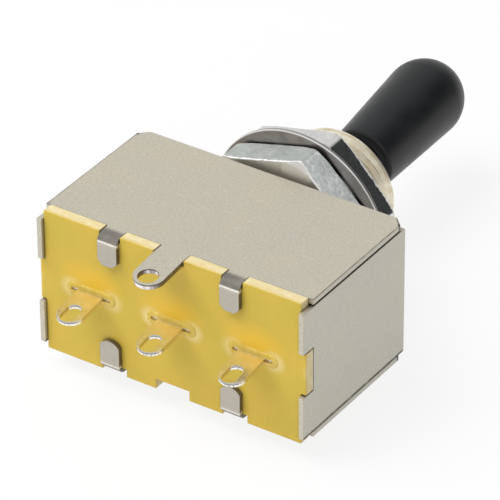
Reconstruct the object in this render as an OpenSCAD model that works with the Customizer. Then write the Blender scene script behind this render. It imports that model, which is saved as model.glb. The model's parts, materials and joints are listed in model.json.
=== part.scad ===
// Three-position panel toggle switch with a closed, folded steel case.
// +X runs along the case, +Y out along the lever, +Z up; the origin lies on the
// bushing's axis, where the free thread starts beyond the upper nut.

/* [Case] */
// length of the case along X
case_len = 29; // [22:0.1:40]
// height of the case along Z
case_h = 14.8; // [12:0.1:20]
// depth of the long walls, from the front face to the board
case_d = 15.75; // [13:0.05:22]
// thickness of the folded sheet
sheet_t = 0.5; // [0.3:0.05:0.8]
// outside radius of the folds
fold_r = 0.6; // [0.55:0.05:1.5]
// 45 degree cut at each front corner of the long walls
corner_cut = 1.3; // [0.8:0.05:2]
// 45 degree cut at each front corner of the end walls
end_cut = 0.55; // [0.3:0.05:1.5]
// gap left along each open corner seam
seam = 0.15; // [0.04:0.01:0.3]
// distance the end walls sit below the middle
end_drop = 0.1; // [0:0.01:0.14]
// height by which the end walls stand over the board's rear face
end_over = 0.4; // [0:0.05:1]
// distance of the folded tabs from the middle
tab_x = 6.65; // [4:0.05:9]
// width of the folded tabs
tab_w = 2.1; // [1.5:0.05:3]
// length of each upper tab over the board's rear face
tab_reach = 3.2; // [2:0.05:4]
// length of each lower tab over the board's rear face
low_reach = 3.4; // [2:0.05:4]
// outside radius of the tabs' folds
tab_fold = 0.95; // [0.6:0.05:1.5]
// width of the notch in each end wall
end_notch_w = 4.7; // [3:0.1:8]

/* [Ground lug] */
// width of the lug
lug_w = 3.1; // [2.5:0.05:5]
// distance of the lug from the middle of the case
lug_x = -0.2; // [-2:0.05:2]
// length of the lug behind the long wall
lug_len = 5.65; // [4:0.05:8]
// radius of the wire hole in the lug
lug_hole_r = 1; // [0.6:0.02:1.2]
// distance of the wire hole behind the centre of the lug's round end
lug_hole_back = 0.25; // [0:0.05:0.3]
// angle the lug is bent down by
lug_bend = 6; // [0:0.5:15]

/* [Terminals] */
// thickness of the terminal board
board_t = 1.2; // [1:0.1:2.4]
// height by which the terminal board is taller than the case
board_more = 0.3; // [0:0.05:2]
// distance the board's middle sits below the case's
board_drop = 0.1; // [0:0.05:0.3]
// spare width of the board's notches beside the lower tabs
notch_slack = 0.4; // [0:0.05:0.8]
// distance between neighbouring terminals
pitch = 8.85; // [7:0.05:12]
// thickness of the terminal strip
strip_t = 0.45; // [0.3:0.05:0.7]
// width of a solder blade
blade_w = 2.8; // [2.2:0.05:3.6]
// length of a solder blade behind the board
blade_len = 4.55; // [3:0.05:6]
// width of the wire eye
eye_w = 1.5; // [0.8:0.05:1.8]
// length of the wire eye
eye_len = 2.4; // [1.8:0.05:3]
// angle the blades are bent down by
blade_bend = 7.5; // [0:0.5:15]
// width of each terminal where it fills its slot
root_w = 4; // [3:0.05:5]
// half width of the common contact plate inside the case
common_half = 3.3; // [2.9:0.05:3.6]
// gap between neighbouring contact plates
plate_gap = 1.1; // [0.6:0.05:1.6]

/* [Bushing and nuts] */
// radius over the bushing's thread
thread_r = 5.95; // [4.9:0.05:7]
// thread left free beyond the upper nut
free_thread = 4.35; // [2:0.05:8]
// distance of the lower nut from the case
nut_stand = 0.55; // [0.2:0.05:3]
// width of the nuts across their flats
nut_af = 16; // [14:0.1:19]
// thickness of the lower nut
lower_nut_h = 3.4; // [2:0.05:4]
// thickness of the upper nut
upper_nut_h = 2.85; // [2:0.05:4]
// radius of the circle that the nuts' chamfer leaves
nut_face_r = 8.4; // [7:0.05:9]
// angle of the nuts' chamfer
nut_chamfer = 18; // [10:1:40]
// height of the round bearing face under each nut's hexagon
nut_boss = 0.2; // [0.1:0.05:0.5]
// turn of the lower nut about the bushing
lower_turn = 15; // [0:0.5:60]
// turn of the upper nut about the bushing
upper_turn = 13; // [0:0.5:60]
// outside radius of the washer
washer_r = 9.45; // [8:0.05:12]
// thickness of the washer
washer_t = 0.4; // [0.3:0.05:1.2]

/* [Lever] */
// height of the lever's pivot above the case's front face
pivot_up = 7.75; // [6:0.05:10]
// lean of the lever at rest, towards -X
lean = 4.3; // [-12:0.1:12]
// greatest lean of the lever to each side
throw_deg = 12; // [8:0.5:14]
// radius of the lever's seat ball
ball_r = 3.1; // [2.4:0.05:3.5]
// radius of the lever's upper thread
stem_r = 2; // [1.5:0.05:2.3]
// radius of the lever's lower arm
arm_r = 1.1; // [0.8:0.05:1.4]
// length of the lower arm, from the pivot to its end ball
arm_len = 13.5; // [11:0.1:15]
// radius of the arm's end ball
end_ball_r = 1.5; // [1.2:0.05:2]
// radius of the pivot pin
pin_r = 0.8; // [0.5:0.05:1]
// length of the pivot pin
pin_len = 8.4; // [7:0.1:9.4]

/* [Lever tip] */
// distance from the pivot to the tip's lower face
tip_up = 8; // [6.5:0.1:10]
// length of the tip
tip_len = 17.2; // [12:0.1:24]
// radius of the tip at its lower face
tip_low_r = 3.35; // [3:0.05:4.5]
// greatest radius of the tip
tip_top_r = 3.98; // [3.4:0.02:5.5]
// height of the tip's dome
tip_dome = 4.1; // [3:0.05:5]

/* [Carriage] */
// length of the sliding carriage
car_len = 16.8; // [14:0.1:19]
// height of the sliding carriage
car_h = 7.2; // [6:0.1:9]
// clearance of each sliding face
slide_fit = 0.06; // [0.03:0.01:0.1]
// height of the contact track above the middle
track_z = 1.7; // [1.4:0.05:2.2]
// distance of the bridge's outer contacts from its middle
bump_x = 6; // [5:0.05:7]
// thickness of the contact bridge
bridge_t = 0.4; // [0.3:0.05:0.6]
// distance of the contact springs from the middle
spring_x = 3.5; // [2.5:0.05:5]
// mean radius of the contact springs' coils
coil_r = 0.85; // [0.6:0.05:1]
// radius of the contact springs' wire
wire_r = 0.15; // [0.1:0.01:0.2]
// number of turns in a contact spring
turns = 5; // [3:1:8]
// thickness of the detent leaf
leaf_t = 0.25; // [0.15:0.05:0.4]
// distance of the detent leaf's ends from the middle
leaf_end = 6.4; // [5.5:0.1:8]
// half width of the carriage's middle notch
rest_half = 1.45; // [1.35:0.05:1.8]

/* [Hidden] */
$fn = 96;
eps = 0.01;
cut = 60;

// places along Y
nut_clear = 0.1;
panel_y = -(nut_stand + lower_nut_h + washer_t + upper_nut_h + nut_clear);
board_y = panel_y - case_d;
rear_y = board_y - board_t;
lower_nut_y = panel_y + nut_stand;
washer_y = lower_nut_y + lower_nut_h;
upper_nut_y = washer_y + washer_t;
pivot_y = panel_y + pivot_up;
inner_y = panel_y - sheet_t;

// case
half_len = case_len / 2;
half_h = case_h / 2;
board_h = case_h + board_more;
wall_z = half_h - sheet_t;
end_half = wall_z - seam;

// bushing and what sits in it
close_fit = 0.02;
run_fit = 0.05;
mesh_r = thread_r - 0.2;
neck_r = thread_r - 0.9;
flange_r = thread_r + 0.3;
flange_t = 0.8;
socket_r = ball_r + run_fit;
sleeve_r = socket_r + 0.7;
groove_r = pin_r + run_fit;
groove_out = pin_len / 2 + 0.1;
bush_low = inner_y - flange_t;
sleeve_top = pivot_y - groove_r;
seat_drop = 2.2;
mouth_r = ball_r * 0.85;
mouth_y = pivot_y + sqrt(pow(socket_r, 2) - pow(mouth_r, 2));

// the arm's reach decides the size of the openings it swings in
end_ball_y = pivot_y - arm_len;
arm_shift = arm_len * sin(lean);
travel = arm_len * sin(throw_deg);
sleeve_low_r = (pivot_y - bush_low) * tan(throw_deg) + arm_r / cos(throw_deg) + 0.15;

// terminals
blade_z = 0.13;
plate_in = common_half + plate_gap;
plate_out = pitch + root_w / 2 + 0.1;
plate_h = 3.5;
plate_y = board_y + strip_t;
eye_y = -(blade_len - blade_w / 2 + 0.12);
slot_fit = 0.03;
seal_r = 0.7;
seal_t = 0.15;

// carriage and guide
car_front = end_ball_y + 1.3;
car_rear = plate_y + 0.5;
socket_deep = 2.2;
bump_h = 0.45;
bridge_y = plate_y + 0.03 + bump_h;
bridge_w = 2.6;
spring_top = car_rear + 5;
pocket_fit = 0.1;
guide_y = bush_low - 0.15;
guide_len = half_len - sheet_t - 0.1;
guide_h = wall_z - 0.05;
channel_len = car_len / 2 + travel + 0.3;
channel_h = car_h / 2 + slide_fit;
slit_len = (pivot_y - car_front) * tan(throw_deg) + arm_r / cos(throw_deg) + 0.4;
leaf_w = 2.6;
leaf_y = (car_front + car_rear) / 2;
nub_half = 0.3;
nub_deep = 0.38;
notch_deep = 0.45;

// ---- profiles laid along an axis ----

// extrudes an (X, Z) outline from y = a to y = b
module slab_y(a, b) {
    translate([0, b, 0])
        rotate([90, 0, 0])
            linear_extrude(b - a)
                children();
}

// extrudes a (Y, Z) outline from x = a to x = b
module slab_x(a, b) {
    translate([a, 0, 0])
        rotate([90, 0, 90])
            linear_extrude(b - a)
                children();
}

// extrudes an (X, Y) outline from z = a to z = b
module slab_z(a, b) {
    translate([0, 0, a])
        linear_extrude(b - a)
            children();
}

// turns a (radius, Y) outline about the bushing's axis
module turned_y() {
    rotate([-90, 0, 0])
        rotate_extrude()
            children();
}

// a rod along the bushing's axis from y = a to y = b
module rod_y(a, b, r) {
    translate([0, a, 0])
        rotate([-90, 0, 0])
            cylinder(h = b - a, r = r);
}

// ---- the folded case ----

// U-shaped fold: a web of the given width at the front and two flanges behind it
module fold_profile(width, depth) {
    inner_r = fold_r - sheet_t;
    difference() {
        rounded_front(width, depth, fold_r);
        translate([0, -sheet_t])
            rounded_front(width - 2 * sheet_t, depth + eps, inner_r);
    }
}

// rectangle behind y = 0 with two round front corners
module rounded_front(width, depth, r) {
    translate([-width / 2, -depth])
        square([width, depth - r]);
    translate([-width / 2 + r, -r - eps])
        square([width - 2 * r, r + eps]);
    for (side = [-1, 1])
        translate([side * (width / 2 - r), -r])
            circle(r);
}

// outline of a wall whose two front corners are cut at 45 degrees
module cut_corners(half, depth, leg) {
    polygon([
        [-half, -depth], [half, -depth], [half, -leg],
        [half - leg, 0], [-half + leg, 0], [-half, -leg]
    ]);
}

// the two long walls and the strip of front panel between them
module long_walls() {
    intersection() {
        translate([0, panel_y, 0])
            slab_x(-half_len, half_len)
                rotate(-90)
                    fold_profile(case_h, case_d);
        translate([0, panel_y, 0])
            slab_z(-half_h, half_h)
                cut_corners(half_len, case_d, corner_cut);
    }
}

// the two end walls, which run on past the board
module end_walls() {
    depth = case_d + board_t + end_over;
    translate([0, panel_y, -end_drop])
        intersection() {
            slab_z(-end_half, end_half)
                fold_profile(case_len, depth);
            slab_x(-half_len, half_len)
                rotate(-90)
                    cut_corners(end_half, depth, end_cut);
        }
}

// (Y, Z) section of a tab that leaves the long wall and turns down over the board
module tab_profile(reach) {
    low = half_h - reach;
    back = rear_y - sheet_t;
    difference() {
        union() {
            translate([back + tab_fold, wall_z])
                square([board_y + 1 - back - tab_fold, sheet_t]);
            translate([back, low])
                square([sheet_t, reach - tab_fold]);
            translate([back + tab_fold, half_h - tab_fold])
                intersection() {
                    circle(tab_fold);
                    translate([-tab_fold, 0])
                        square(tab_fold);
                }
        }
        translate([back + tab_fold, half_h - tab_fold])
            circle(tab_fold - sheet_t);
    }
}

// outlines of the tabs seen from behind: cut corners above, a round end below
module cut_end() {
    bevel = tab_w * 0.25;
    low = half_h - tab_reach;
    polygon([
        [-tab_w / 2, half_h], [-tab_w / 2, low + bevel], [-tab_w / 2 + bevel, low],
        [tab_w / 2 - bevel, low], [tab_w / 2, low + bevel], [tab_w / 2, half_h]
    ]);
}

module round_end() {
    arch = tab_w * 0.6;
    low = half_h - low_reach + arch;
    translate([-tab_w / 2, low])
        square([tab_w, half_h - low]);
    intersection() {
        translate([0, low])
            circle(arch);
        translate([-tab_w / 2, low - arch])
            square([tab_w, arch + eps]);
    }
}

module tab(x, reach) {
    translate([x, 0, 0])
        intersection() {
            slab_x(-tab_w / 2, tab_w / 2)
                tab_profile(reach);
            slab_y(rear_y - 2 * sheet_t, board_y + 2)
                children();
        }
}

// the solder lug, in the plane of the upper wall and bent down behind it
module ground_lug() {
    flat = 1;
    reach = lug_len - flat - lug_w / 2;
    translate([lug_x, board_y - flat, half_h - sheet_t / 2]) {
        translate([-lug_w / 2, 0, -sheet_t / 2])
            cube([lug_w, flat + 1, sheet_t]);
        rotate([0, 90, 0])
            cylinder(h = lug_w, r = sheet_t / 2, center = true);
        rotate([lug_bend, 0, 0])
            difference() {
                slab_z(-sheet_t / 2, sheet_t / 2) {
                    translate([-lug_w / 2, -reach])
                        square([lug_w, reach]);
                    translate([0, -reach])
                        circle(lug_w / 2);
                }
                translate([0, -reach - lug_hole_back, -sheet_t])
                    cylinder(h = 2 * sheet_t, r = lug_hole_r);
            }
    }
}

module case() {
    color("silver")
        difference() {
            union() {
                long_walls();
                end_walls();
                for (x = [-tab_x, tab_x]) {
                    tab(x, tab_reach)
                        cut_end();
                    mirror([0, 0, 1])
                        tab(x, low_reach)
                            round_end();
                }
                ground_lug();
            }
            rod_y(inner_y - 1, panel_y + 1, neck_r + close_fit);
            for (side = [-1, 1])
                translate([side * half_len - 1, rear_y - end_over - 1, -end_notch_w / 2])
                    cube([2, board_t + end_over + 1.1, end_notch_w]);
        }
}

// ---- terminal board, terminals and their seals ----

module terminal_board() {
    gap = 0.03;
    side_gap = 0.1;
    tab_low = wall_z - 0.06;
    body = half_len - sheet_t - gap;
    color("gold")
        slab_y(rear_y, board_y)
            difference() {
                union() {
                    translate([0, -board_drop])
                        square([2 * body, board_h], center = true);
                    square([case_len, end_notch_w - 0.3], center = true);
                }
                for (x = [-tab_x, tab_x]) {
                    translate([x - tab_w / 2 - side_gap, tab_low])
                        square([tab_w + 2 * side_gap, board_h]);
                    translate([x - tab_w / 2 - side_gap, -tab_low - board_h])
                        square([tab_w + 2 * side_gap + notch_slack, board_h]);
                }
                translate([lug_x - lug_w / 2 - side_gap, tab_low])
                    square([lug_w + 2 * side_gap, board_h]);
                translate([-lug_w / 2 - 0.3, -half_h - 1])
                    square([lug_w + 0.6, 1.8]);
                for (x = [-pitch, 0, pitch])
                    translate([x, blade_z])
                        square([root_w + 2 * slot_fit, strip_t + 2 * slot_fit], center = true);
            }
}

// outline of the solder blade behind the board, with its long wire eye
module blade_outline() {
    head = blade_len - blade_w / 2;
    difference() {
        union() {
            translate([-blade_w / 2, -head])
                square([blade_w, head]);
            translate([0, -head])
                circle(blade_w / 2);
        }
        for (end = [-1, 1])
            translate([0, eye_y + end * (eye_len - eye_w) / 2])
                circle(eye_w / 2);
        translate([0, eye_y])
            square([eye_w, eye_len - eye_w], center = true);
    }
}

// contact plate on the board's inner face, slot root and solder blade in one strip
module terminal(x, plate_from, plate_to) {
    low = blade_z - strip_t / 2;
    color("khaki") {
        translate([plate_from, board_y, low])
            cube([plate_to - plate_from, strip_t, plate_h]);
        translate([x - root_w / 2, rear_y, low])
            cube([root_w, board_t + strip_t, strip_t]);
        translate([x, rear_y, blade_z]) {
            rotate([0, 90, 0])
                cylinder(h = blade_w, r = strip_t / 2, center = true);
            rotate([blade_bend, 0, 0])
                slab_z(-strip_t / 2, strip_t / 2)
                    blade_outline();
        }
    }
}

module terminal_left() {
    terminal(-pitch, -plate_out, -plate_in);
}

module terminal_common() {
    terminal(0, -common_half, common_half);
}

module terminal_right() {
    terminal(pitch, plate_in, plate_out);
}

// low bead of resin around a terminal where it leaves the board
module seal(x) {
    half = root_w / 2;
    color("orange")
        translate([x, 0, blade_z])
            slab_y(rear_y - seal_t, rear_y)
                difference() {
                    union() {
                        square([2 * half, 2 * seal_r], center = true);
                        for (side = [-1, 1])
                            translate([side * half, 0])
                                circle(seal_r);
                    }
                    square([root_w + 2 * slot_fit, strip_t + 0.16], center = true);
                }
}

// ---- bushing, sleeve, nuts and washer ----

// two grooves beside the bore, which take the ends of the pivot pin
module pin_grooves() {
    for (side = [-1, 1])
        scale([1, 1, side])
            slab_z(0, groove_out) {
                translate([0, pivot_y])
                    circle(groove_r);
                translate([-groove_r, bush_low - 1])
                    square([2 * groove_r, pivot_y - bush_low + 1]);
            }
}

module bushing() {
    bevel = 0.35;
    flare = 0.45;
    end_y = free_thread - nut_clear;
    color("wheat")
        difference() {
            turned_y()
                polygon([
                    [0, bush_low], [flange_r, bush_low], [flange_r, inner_y], [neck_r, inner_y],
                    [neck_r, panel_y], [mesh_r - bevel, panel_y], [mesh_r, panel_y + bevel],
                    [mesh_r, 0], [thread_r, 0], [thread_r, end_y - bevel],
                    [thread_r - bevel, end_y], [0, end_y]
                ]);
            turned_y()
                polygon([
                    [0, bush_low - 1], [sleeve_r, bush_low - 1], [sleeve_r, sleeve_top],
                    [socket_r, sleeve_top], [socket_r, pivot_y], [0, pivot_y]
                ]);
            translate([0, pivot_y, 0])
                sphere(socket_r);
            turned_y()
                polygon([
                    [0, pivot_y], [mouth_r, pivot_y], [mouth_r, end_y - flare],
                    [mouth_r + flare, end_y + eps], [0, end_y + eps]
                ]);
            pin_grooves();
        }
}

// sleeve pressed in under the lever's ball; its bore flares to let the arm swing
module retaining_sleeve() {
    seat_y = pivot_y - seat_drop;
    seat_r = sqrt(pow(socket_r, 2) - pow(seat_drop, 2));
    color("wheat")
        difference() {
            rod_y(bush_low, sleeve_top - close_fit, sleeve_r - close_fit);
            turned_y()
                polygon([
                    [0, bush_low - eps], [sleeve_low_r, bush_low - eps],
                    [seat_r, seat_y], [0, seat_y + 1]
                ]);
            translate([0, pivot_y, 0])
                sphere(socket_r);
        }
}

// hexagon nut from y = 0 to the given height: a round bearing face below the
// hexagon, whose corners are chamfered on the far face
module nut(height, turn) {
    corner = nut_af / sqrt(3);
    slope = tan(nut_chamfer);
    top = corner + 1;
    bore = mesh_r + close_fit;
    sink = 0.45;
    difference() {
        union() {
            rod_y(0, nut_boss + eps, nut_af / 2 - 0.1);
            intersection() {
                translate([0, nut_boss, 0])
                    rotate([-90, 0, 0])
                        rotate(-turn)
                            cylinder(h = height - nut_boss, r = corner, $fn = 6);
                turned_y()
                    polygon([
                        [0, 0], [top, 0], [top, height - (top - nut_face_r) * slope],
                        [nut_face_r, height], [0, height]
                    ]);
            }
        }
        rod_y(-1, height + 1, bore);
        turned_y()
            polygon([
                [bore - 1, height - sink], [bore, height - sink],
                [bore + sink, height + eps], [bore - 1, height + eps]
            ]);
    }
}

module lower_nut() {
    color("lightsteelblue")
        translate([0, lower_nut_y + lower_nut_h, 0])
            mirror([0, 1, 0])
                nut(lower_nut_h, lower_turn);
}

module upper_nut() {
    color("silver")
        translate([0, upper_nut_y, 0])
            nut(upper_nut_h, upper_turn);
}

module washer() {
    color("gray")
        difference() {
            rod_y(washer_y, washer_y + washer_t, washer_r);
            rod_y(washer_y - 1, washer_y + washer_t + 1, thread_r + 0.15);
        }
}

// ---- lever ----

// places its children on the leaning lever, with the pivot at their origin
module on_lever() {
    translate([0, pivot_y, 0])
        rotate([0, 0, lean])
            children();
}

// one turned piece: end ball, arm, seat ball, neck and threaded stem
module lever() {
    neck = 1.6;
    stem_start = tip_up - 1;
    stem_end = tip_up + 9;
    color("silver")
        on_lever()
            difference() {
                union() {
                    rod_y(-arm_len, 0, arm_r);
                    translate([0, -arm_len, 0])
                        sphere(end_ball_r);
                    sphere(ball_r);
                    rod_y(0, stem_start, neck);
                    rod_y(stem_start, stem_end, stem_r);
                }
                cylinder(h = cut, r = pin_r + close_fit, center = true);
            }
}

module lever_tip() {
    rise = tip_len - tip_dome;
    soft = 0.3;
    color("black")
        on_lever()
            translate([0, tip_up, 0])
                difference() {
                    turned_y()
                        difference() {
                            union() {
                                polygon([
                                    [0, 0], [tip_low_r - soft, 0], [tip_low_r, soft],
                                    [tip_top_r, rise], [0, rise]
                                ]);
                                translate([0, rise])
                                    intersection() {
                                        circle(tip_dome);
                                        translate([0, -eps])
                                            square([tip_top_r, tip_dome + 1]);
                                    }
                            }
                        }
                    rod_y(-1, 9.4, stem_r + close_fit);
                }
}

module pivot_pin() {
    color("gray")
        translate([0, pivot_y, 0])
            cylinder(h = pin_len, r = pin_r, center = true);
}

// ---- guide, carriage and contacts ----

// moulded frame that fills the case around the carriage's channel
module guide_frame() {
    pocket = leaf_end + 0.2;
    color("saddlebrown")
        difference() {
            slab_y(board_y, guide_y)
                square([2 * guide_len, 2 * guide_h], center = true);
            translate([-channel_len, board_y - 1, -channel_h])
                cube([2 * channel_len, car_front + slide_fit - board_y + 1, 2 * channel_h]);
            slab_y(board_y, guide_y + 1) {
                square([2 * (slit_len - arm_r), 2 * arm_r + 0.8], center = true);
                for (side = [-1, 1])
                    translate([side * (slit_len - arm_r), 0])
                        circle(arm_r + 0.4);
            }
            translate([-pocket, leaf_y - leaf_w / 2 - 0.15, channel_h + 0.8])
                cube([2 * pocket, leaf_w + 0.3, guide_h]);
            translate([-2, leaf_y - leaf_w / 2 - 0.15, 0])
                cube([4, leaf_w + 0.3, guide_h]);
        }
}

// bent leaf whose middle nub drops into the carriage's notches
module detent_spring() {
    top = guide_h - leaf_t;
    low = channel_h + 1;
    nub_z = car_h / 2 - nub_deep;
    nub_top = nub_half + low - nub_z;
    foot = leaf_end - 1.4;
    half_line = [[nub_half, nub_z], [nub_top, low], [nub_top + 0.5, low], [foot, top], [leaf_end, top]];
    last = len(half_line) - 1;
    line = concat(
        [for (i = [last:-1:0]) [-half_line[i][0], half_line[i][1]]],
        half_line
    );
    count = len(line) - 1;
    color("goldenrod")
        slab_y(leaf_y - leaf_w / 2, leaf_y + leaf_w / 2)
            polygon(concat(
                line,
                [for (i = [count:-1:0]) line[i] + [0, leaf_t]]
            ));
}

// (X, Z) notch with sloping sides, cut down from the carriage's top face
module notch(x, half) {
    top = car_h / 2 + eps;
    low = car_h / 2 - notch_deep;
    polygon([
        [x - half, low], [x + half, low],
        [x + half + notch_deep, top], [x - half - notch_deep, top]
    ]);
}

// places its children on the carriage, which the leaning arm has pushed aside
module on_carriage() {
    translate([arm_shift, 0, 0])
        children();
}

module carriage() {
    socket = end_ball_r + slide_fit;
    pocket_len = bump_x + 1 + pocket_fit;
    color("ivory")
        on_carriage()
            difference() {
                slab_y(car_rear, car_front)
                    square([car_len, car_h], center = true);
                translate([-socket, end_ball_y - socket_deep, -socket])
                    cube([2 * socket, cut, 2 * socket]);
                translate([-pocket_len, car_rear - 1, track_z - bridge_w / 2 - pocket_fit])
                    cube([2 * pocket_len, 1.9, bridge_w + 2 * pocket_fit]);
                for (x = [-spring_x, spring_x])
                    translate([x, 0, track_z])
                        rod_y(car_rear - 1, spring_top, coil_r + wire_r + 0.15);
                slab_y(car_rear - 1, car_front + 1) {
                    notch(0, rest_half);
                    for (x = [-travel, travel])
                        notch(x, nub_half + 0.05);
                }
            }
}

// sprung bar whose three bumps bear on the terminals' contact plates
module contact_bridge() {
    bump_r = 0.8;
    sink = sqrt(pow(bump_r, 2) - pow(bump_r - bump_h, 2));
    color("goldenrod")
        on_carriage()
            translate([0, bridge_y, track_z])
                difference() {
                    union() {
                        slab_y(0, bridge_t) {
                            square([2 * bump_x, bridge_w], center = true);
                            for (side = [-1, 1])
                                translate([side * bump_x, 0])
                                    square([2, bridge_w], center = true);
                        }
                        for (x = [-bump_x, 0, bump_x])
                            translate([x, 0, 0])
                                turned_y()
                                    intersection() {
                                        translate([0, bump_r - bump_h])
                                            circle(bump_r);
                                        translate([0, -bump_h])
                                            square([sink, bump_h + eps]);
                                    }
                    }
                }
}

// round wire wound along Y from y = a to y = b
module coil(a, b) {
    sides = 8;
    steps = 20;
    count = turns * steps;
    low = a + wire_r;
    rise = b - a - 2 * wire_r;
    points = [
        for (i = [0:count], k = [0:sides - 1])
            let (
                turn = 360 * i / steps,
                around = 360 * k / sides,
                r = coil_r + wire_r * cos(around)
            )
            [r * cos(turn), low + rise * i / count + wire_r * sin(around), r * sin(turn)]
    ];
    walls = [
        for (i = [0:count - 1], k = [0:sides - 1])
            let (next = (k + 1) % sides)
            [i * sides + k, (i + 1) * sides + k, (i + 1) * sides + next, i * sides + next]
    ];
    start = [for (k = [0:sides - 1]) k];
    finish = [for (k = [sides - 1:-1:0]) count * sides + k];
    polyhedron(points, concat([start], walls, [finish]), convexity = 10);
}

module contact_spring(x) {
    color("silver")
        on_carriage()
            translate([x, 0, track_z])
                coil(bridge_y + bridge_t, spring_top);
}

case();
terminal_board();
terminal_left();
terminal_common();
terminal_right();
seal(-pitch);  // seal_left
seal(0);  // seal_common
seal(pitch);  // seal_right
guide_frame();
detent_spring();
bushing();
retaining_sleeve();
lower_nut();
washer();
upper_nut();
lever();
lever_tip();
pivot_pin();
carriage();
contact_bridge();
contact_spring(-spring_x);  // contact_spring_left
contact_spring(spring_x);  // contact_spring_right
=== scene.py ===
import json
from math import atan2, cos, hypot, pi, radians, sin, sqrt, tan
from types import SimpleNamespace

import bmesh
import bpy
from mathutils import Matrix, Vector


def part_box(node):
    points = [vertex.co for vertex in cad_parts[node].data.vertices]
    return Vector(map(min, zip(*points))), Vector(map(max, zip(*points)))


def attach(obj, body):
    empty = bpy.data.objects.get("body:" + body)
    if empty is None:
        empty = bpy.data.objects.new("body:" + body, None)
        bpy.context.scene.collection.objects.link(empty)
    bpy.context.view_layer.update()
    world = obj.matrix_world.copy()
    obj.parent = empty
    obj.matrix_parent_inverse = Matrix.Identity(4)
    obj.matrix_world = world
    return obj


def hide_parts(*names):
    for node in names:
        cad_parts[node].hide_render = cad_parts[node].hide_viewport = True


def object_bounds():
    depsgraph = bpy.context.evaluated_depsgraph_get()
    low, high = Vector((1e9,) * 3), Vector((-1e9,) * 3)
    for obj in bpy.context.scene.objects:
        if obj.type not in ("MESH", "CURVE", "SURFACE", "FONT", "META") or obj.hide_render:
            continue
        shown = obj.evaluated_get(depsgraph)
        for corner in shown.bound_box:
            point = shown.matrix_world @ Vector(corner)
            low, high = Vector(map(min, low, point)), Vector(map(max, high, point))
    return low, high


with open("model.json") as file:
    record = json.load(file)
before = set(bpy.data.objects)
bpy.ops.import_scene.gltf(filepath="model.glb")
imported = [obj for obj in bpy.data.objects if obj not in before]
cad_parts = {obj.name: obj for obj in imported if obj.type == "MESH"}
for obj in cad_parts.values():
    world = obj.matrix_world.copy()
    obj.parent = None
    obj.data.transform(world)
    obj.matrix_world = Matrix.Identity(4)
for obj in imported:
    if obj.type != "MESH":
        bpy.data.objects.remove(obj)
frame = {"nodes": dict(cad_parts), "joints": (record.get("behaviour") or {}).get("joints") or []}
cad_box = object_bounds()
MM = 0.001


# Case: one piece of 0.5 mm sheet steel, blanked, folded into a box and closed by four
# tabs over the board. The sheet is plated a dull nickel before it is folded, so its faces
# are faintly mottled and its blanked edges are darker. Painted shade darkens the end walls,
# the tabs' faces and folds, the walls' rear arris along the board and the crevices; the
# tabs' folds also carry a painted glint and the lug's cut edge a painted reflection.

sheet_t = 0.5 * MM
sheet_end, panel_y, sheet_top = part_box("case")[1]
wall_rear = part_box("terminal_board")[1].y
corner_cut = 1.3 * MM
tab_x = 6.65 * MM
tab_half = 1.05 * MM
lug_x = -0.2 * MM
lug_half = 1.55 * MM
lug_slope = tan(radians(6))
lug_fold_y = wall_rear - 1.0 * MM
fade = 0.1 * MM


def begin_finish(name, color, metallic, roughness):
    """A new material with its shader's constant sockets set and object coordinates ready."""
    finish = bpy.data.materials.new(name)
    finish.use_nodes = True
    tree = finish.node_tree
    shader = tree.nodes["Principled BSDF"]
    shader.inputs["Base Color"].default_value = (*color, 1)
    shader.inputs["Metallic"].default_value = metallic
    shader.inputs["Roughness"].default_value = roughness
    place = tree.nodes.new("ShaderNodeTexCoord")
    return finish, tree, shader, place.outputs["Object"]


def stretched(tree, place, scale, turn=(0, 0, 0)):
    """Object coordinates scaled along the axes, so that a grain runs one way."""
    mapping = tree.nodes.new("ShaderNodeMapping")
    mapping.inputs["Scale"].default_value = scale
    mapping.inputs["Rotation"].default_value = turn
    tree.links.new(place, mapping.inputs["Vector"])
    return mapping.outputs["Vector"]


def mottle(tree, place, size, detail=3, rough=0.55):
    """Soft noise whose blotches are about the given size, in metres."""
    noise = tree.nodes.new("ShaderNodeTexNoise")
    noise.inputs["Scale"].default_value = 1 / size
    noise.inputs["Detail"].default_value = detail
    noise.inputs["Roughness"].default_value = rough
    tree.links.new(place, noise.inputs["Vector"])
    return noise.outputs["Fac"]


def ramp(tree, source, low, high, low_value=0.0, high_value=1.0):
    """Maps source from low..high to low_value..high_value, held outside that range."""
    mapped = tree.nodes.new("ShaderNodeMapRange")
    mapped.inputs["From Min"].default_value = low
    mapped.inputs["From Max"].default_value = high
    mapped.inputs["To Min"].default_value = low_value
    mapped.inputs["To Max"].default_value = high_value
    tree.links.new(source, mapped.inputs["Value"])
    return mapped.outputs["Result"]


def tint(tree, factor, under, over):
    """Mixes two colours, each a tuple or a socket, by a factor socket."""
    mix = tree.nodes.new("ShaderNodeMix")
    mix.data_type = "RGBA"
    for socket, value in ((mix.inputs["A"], under), (mix.inputs["B"], over)):
        if isinstance(value, tuple):
            socket.default_value = (*value, 1)
        else:
            tree.links.new(value, socket)
    tree.links.new(factor, mix.inputs["Factor"])
    return mix.outputs["Result"]


def combine(tree, operation, first, second):
    """One step of arithmetic between sockets or numbers."""
    step = tree.nodes.new("ShaderNodeMath")
    step.operation = operation
    for socket, value in zip(step.inputs, (first, second)):
        if isinstance(value, (int, float)):
            socket.default_value = value
        else:
            tree.links.new(value, socket)
    return step.outputs["Value"]


def relief(tree, shader, height, depth, edge=0.0):
    """Bumps the surface by a height socket, and rounds sharp edges to a radius or socket."""
    bump = tree.nodes.new("ShaderNodeBump")
    if edge:
        rounded = tree.nodes.new("ShaderNodeBevel")
        rounded.samples = 6
        if isinstance(edge, float):
            rounded.inputs["Radius"].default_value = edge
        else:
            tree.links.new(edge, rounded.inputs["Radius"])
        tree.links.new(rounded.outputs["Normal"], bump.inputs["Normal"])
    bump.inputs["Strength"].default_value = 1
    bump.inputs["Distance"].default_value = depth
    tree.links.new(height, bump.inputs["Height"])
    tree.links.new(bump.outputs["Normal"], shader.inputs["Normal"])


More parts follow.
